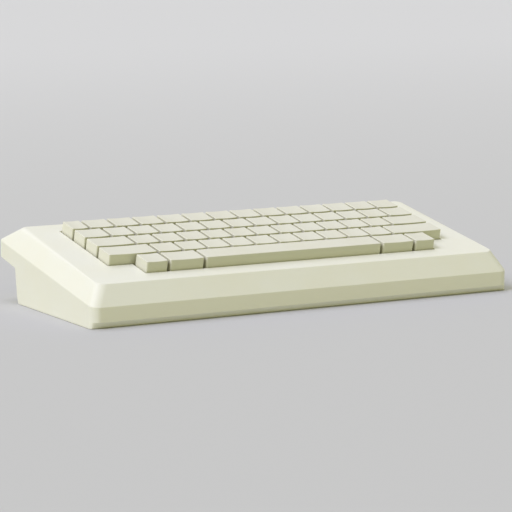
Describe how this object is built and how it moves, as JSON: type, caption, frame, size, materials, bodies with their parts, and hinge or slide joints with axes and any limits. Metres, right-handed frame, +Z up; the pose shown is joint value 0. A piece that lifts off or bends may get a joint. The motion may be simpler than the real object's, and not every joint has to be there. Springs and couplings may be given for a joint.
{
  "type": "vintage home computer",
  "caption": "Low wedge-shaped home computer in cream plastic: stepped rows of blank keys on a sloping deck, sockets in a recess at the rear, mainboard inside.",
  "frame": {"origin": "middle of the case on the desk, under the feet", "axes": "+X to the right along the rows of keys, +Y from the front to the rear, +Z up"},
  "size_m": [0.334, 0.149, 0.0562],
  "materials": {
    "case_shell": "moulded cream ABS with a fine, even grain",
    "key_cap": "moulded warm grey key tops, satin, slightly darker than the case",
    "black_moulding": "black moulded plastic",
    "chip_resin": "black moulded resin",
    "circuit_board": "green lacquered board",
    "zinc_plate": "zinc-plated steel",
    "spring_steel": "bright drawn wire",
    "tin_can": "tinned steel",
    "heatsink_aluminium": "plain extruded aluminium",
    "capacitor_sleeve": "dark blue shrunk sleeve",
    "ribbon": "grey insulated flat cable and plugs",
    "speaker_body": "black paper cone and painted frame",
    "foot_rubber": "dark grey rubber"
  },
  "bodies": {
    "computer": {"top_case": "case_shell", "bottom_case": "case_shell", "switch_housings": "black_moulding", "chip_sockets": "black_moulding", "power_socket": "black_moulding", "tape_sockets": "black_moulding", "monitor_socket": "black_moulding", "power_switch": "black_moulding", "voltage_regulator": "black_moulding", "large_chips": "chip_resin", "small_chips": "chip_resin", "keyboard_board": "circuit_board", "mainboard": "circuit_board", "keyboard_plate": "zinc_plate", "case_screws": "zinc_plate", "board_screws": "zinc_plate", "key_springs": "spring_steel", "tv_modulator": "tin_can", "crystal": "tin_can", "heatsink": "heatsink_aluminium", "capacitors": "capacitor_sleeve", "keyboard_cable": "ribbon", "speaker": "speaker_body", "rubber_feet": "foot_rubber"},
    "key_a1_press": {"key_a1": "key_cap"},
    "key_a2_press": {"key_a2": "key_cap"},
    "space_bar_press": {"space_bar": "key_cap"},
    "key_a4_press": {"key_a4": "key_cap"},
    "key_a5_press": {"key_a5": "key_cap"},
    "key_b1_press": {"key_b1": "key_cap"},
    "key_b2_press": {"key_b2": "key_cap"},
    "key_b3_press": {"key_b3": "key_cap"},
    "key_b4_press": {"key_b4": "key_cap"},
    "key_b5_press": {"key_b5": "key_cap"},
    "key_b6_press": {"key_b6": "key_cap"},
    "key_b7_press": {"key_b7": "key_cap"},
    "key_b8_press": {"key_b8": "key_cap"},
    "key_b9_press": {"key_b9": "key_cap"},
    "key_b10_press": {"key_b10": "key_cap"},
    "key_b11_press": {"key_b11": "key_cap"},
    "key_b12_press": {"key_b12": "key_cap"},
    "key_c1_press": {"key_c1": "key_cap"},
    "key_c2_press": {"key_c2": "key_cap"},
    "key_c3_press": {"key_c3": "key_cap"},
    "key_c4_press": {"key_c4": "key_cap"},
    "key_c5_press": {"key_c5": "key_cap"},
    "key_c6_press": {"key_c6": "key_cap"},
    "key_c7_press": {"key_c7": "key_cap"},
    "key_c8_press": {"key_c8": "key_cap"},
    "key_c9_press": {"key_c9": "key_cap"},
    "key_c10_press": {"key_c10": "key_cap"},
    "key_c11_press": {"key_c11": "key_cap"},
    "key_c12_press": {"key_c12": "key_cap"},
    "key_c13_press": {"key_c13": "key_cap"},
    "keys_d_left_press": {"keys_d_left": "key_cap"},
    "keys_d_right_press": {"keys_d_right": "key_cap"},
    "keys_e_left_press": {"keys_e_left": "key_cap"},
    "keys_e_right_press": {"keys_e_right": "key_cap"},
    "space_bar_wire_turn": {"space_bar_wire": "spring_steel"},
    "power_switch_knob": {"power_switch_slider": "black_moulding"}
  },
  "joints": [
    {"name": "key_a1_travel", "type": "slide", "parent": "computer", "child": "key_a1_press", "axis": [0, 0.1908, -0.9816], "range_m": [0, 0.0038], "stiffness_N_per_m": 120, "springref_m": -0.003},
    {"name": "key_a2_travel", "type": "slide", "parent": "computer", "child": "key_a2_press", "axis": [0, 0.1908, -0.9816], "range_m": [0, 0.0038], "stiffness_N_per_m": 120, "springref_m": -0.003},
    {"name": "space_bar_travel", "type": "slide", "parent": "computer", "child": "space_bar_press", "axis": [0, 0.1908, -0.9816], "range_m": [0, 0.0038], "stiffness_N_per_m": 300, "springref_m": -0.003, "deforming": ["key_springs"]},
    {"name": "key_a4_travel", "type": "slide", "parent": "computer", "child": "key_a4_press", "axis": [0, 0.1908, -0.9816], "range_m": [0, 0.0038], "stiffness_N_per_m": 120, "springref_m": -0.003},
    {"name": "key_a5_travel", "type": "slide", "parent": "computer", "child": "key_a5_press", "axis": [0, 0.1908, -0.9816], "range_m": [0, 0.0038], "stiffness_N_per_m": 120, "springref_m": -0.003},
    {"name": "key_b1_travel", "type": "slide", "parent": "computer", "child": "key_b1_press", "axis": [0, 0.1908, -0.9816], "range_m": [0, 0.0038], "stiffness_N_per_m": 120, "springref_m": -0.003},
    {"name": "key_b2_travel", "type": "slide", "parent": "computer", "child": "key_b2_press", "axis": [0, 0.1908, -0.9816], "range_m": [0, 0.0038], "stiffness_N_per_m": 120, "springref_m": -0.003},
    {"name": "key_b3_travel", "type": "slide", "parent": "computer", "child": "key_b3_press", "axis": [0, 0.1908, -0.9816], "range_m": [0, 0.0038], "stiffness_N_per_m": 120, "springref_m": -0.003},
    {"name": "key_b4_travel", "type": "slide", "parent": "computer", "child": "key_b4_press", "axis": [0, 0.1908, -0.9816], "range_m": [0, 0.0038], "stiffness_N_per_m": 120, "springref_m": -0.003},
    {"name": "key_b5_travel", "type": "slide", "parent": "computer", "child": "key_b5_press", "axis": [0, 0.1908, -0.9816], "range_m": [0, 0.0038], "stiffness_N_per_m": 120, "springref_m": -0.003},
    {"name": "key_b6_travel", "type": "slide", "parent": "computer", "child": "key_b6_press", "axis": [0, 0.1908, -0.9816], "range_m": [0, 0.0038], "stiffness_N_per_m": 120, "springref_m": -0.003},
    {"name": "key_b7_travel", "type": "slide", "parent": "computer", "child": "key_b7_press", "axis": [0, 0.1908, -0.9816], "range_m": [0, 0.0038], "stiffness_N_per_m": 120, "springref_m": -0.003},
    {"name": "key_b8_travel", "type": "slide", "parent": "computer", "child": "key_b8_press", "axis": [0, 0.1908, -0.9816], "range_m": [0, 0.0038], "stiffness_N_per_m": 120, "springref_m": -0.003},
    {"name": "key_b9_travel", "type": "slide", "parent": "computer", "child": "key_b9_press", "axis": [0, 0.1908, -0.9816], "range_m": [0, 0.0038], "stiffness_N_per_m": 120, "springref_m": -0.003},
    {"name": "key_b10_travel", "type": "slide", "parent": "computer", "child": "key_b10_press", "axis": [0, 0.1908, -0.9816], "range_m": [0, 0.0038], "stiffness_N_per_m": 120, "springref_m": -0.003},
    {"name": "key_b11_travel", "type": "slide", "parent": "computer", "child": "key_b11_press", "axis": [0, 0.1908, -0.9816], "range_m": [0, 0.0038], "stiffness_N_per_m": 120, "springref_m": -0.003},
    {"name": "key_b12_travel", "type": "slide", "parent": "computer", "child": "key_b12_press", "axis": [0, 0.1908, -0.9816], "range_m": [0, 0.0038], "stiffness_N_per_m": 120, "springref_m": -0.003},
    {"name": "key_c1_travel", "type": "slide", "parent": "computer", "child": "key_c1_press", "axis": [0, 0.1908, -0.9816], "range_m": [0, 0.0038], "stiffness_N_per_m": 120, "springref_m": -0.003},
    {"name": "key_c2_travel", "type": "slide", "parent": "computer", "child": "key_c2_press", "axis": [0, 0.1908, -0.9816], "range_m": [0, 0.0038], "stiffness_N_per_m": 120, "springref_m": -0.003},
    {"name": "key_c3_travel", "type": "slide", "parent": "computer", "child": "key_c3_press", "axis": [0, 0.1908, -0.9816], "range_m": [0, 0.0038], "stiffness_N_per_m": 120, "springref_m": -0.003},
    {"name": "key_c4_travel", "type": "slide", "parent": "computer", "child": "key_c4_press", "axis": [0, 0.1908, -0.9816], "range_m": [0, 0.0038], "stiffness_N_per_m": 120, "springref_m": -0.003},
    {"name": "key_c5_travel", "type": "slide", "parent": "computer", "child": "key_c5_press", "axis": [0, 0.1908, -0.9816], "range_m": [0, 0.0038], "stiffness_N_per_m": 120, "springref_m": -0.003},
    {"name": "key_c6_travel", "type": "slide", "parent": "computer", "child": "key_c6_press", "axis": [0, 0.1908, -0.9816], "range_m": [0, 0.0038], "stiffness_N_per_m": 120, "springref_m": -0.003},
    {"name": "key_c7_travel", "type": "slide", "parent": "computer", "child": "key_c7_press", "axis": [0, 0.1908, -0.9816], "range_m": [0, 0.0038], "stiffness_N_per_m": 120, "springref_m": -0.003},
    {"name": "key_c8_travel", "type": "slide", "parent": "computer", "child": "key_c8_press", "axis": [0, 0.1908, -0.9816], "range_m": [0, 0.0038], "stiffness_N_per_m": 120, "springref_m": -0.003},
    {"name": "key_c9_travel", "type": "slide", "parent": "computer", "child": "key_c9_press", "axis": [0, 0.1908, -0.9816], "range_m": [0, 0.0038], "stiffness_N_per_m": 120, "springref_m": -0.003},
    {"name": "key_c10_travel", "type": "slide", "parent": "computer", "child": "key_c10_press", "axis": [0, 0.1908, -0.9816], "range_m": [0, 0.0038], "stiffness_N_per_m": 120, "springref_m": -0.003},
    {"name": "key_c11_travel", "type": "slide", "parent": "computer", "child": "key_c11_press", "axis": [0, 0.1908, -0.9816], "range_m": [0, 0.0038], "stiffness_N_per_m": 120, "springref_m": -0.003},
    {"name": "key_c12_travel", "type": "slide", "parent": "computer", "child": "key_c12_press", "axis": [0, 0.1908, -0.9816], "range_m": [0, 0.0038], "stiffness_N_per_m": 120, "springref_m": -0.003},
    {"name": "key_c13_travel", "type": "slide", "parent": "computer", "child": "key_c13_press", "axis": [0, 0.1908, -0.9816], "range_m": [0, 0.0038], "stiffness_N_per_m": 120, "springref_m": -0.003},
    {"name": "keys_d_left_travel", "type": "slide", "parent": "computer", "child": "keys_d_left_press", "axis": [0, 0.1908, -0.9816], "range_m": [0, 0.0038], "stiffness_N_per_m": 300, "springref_m": -0.003},
    {"name": "keys_d_right_travel", "type": "slide", "parent": "computer", "child": "keys_d_right_press", "axis": [0, 0.1908, -0.9816], "range_m": [0, 0.0038], "stiffness_N_per_m": 300, "springref_m": -0.003},
    {"name": "keys_e_left_travel", "type": "slide", "parent": "computer", "child": "keys_e_left_press", "axis": [0, 0.1908, -0.9816], "range_m": [0, 0.0038], "stiffness_N_per_m": 300, "springref_m": -0.003},
    {"name": "keys_e_right_travel", "type": "slide", "parent": "computer", "child": "keys_e_right_press", "axis": [0, 0.1908, -0.9816], "range_m": [0, 0.0038], "stiffness_N_per_m": 300, "springref_m": -0.003},
    {"name": "space_bar_wire_swing", "type": "hinge", "parent": "computer", "child": "space_bar_wire_turn", "pos_m": [0, -0.04872, 0.03143], "axis": [-1, 0, 0], "range_deg": [0, 27.68]},
    {"name": "power_switch_slide", "type": "slide", "parent": "computer", "child": "power_switch_knob", "axis": [1, 0, 0], "range_m": [0, 0.005]}
  ],
  "couplings": [
    {"joint": "space_bar_wire_swing", "follows": "space_bar_travel", "rad_per_m": 126.21}
  ]
}
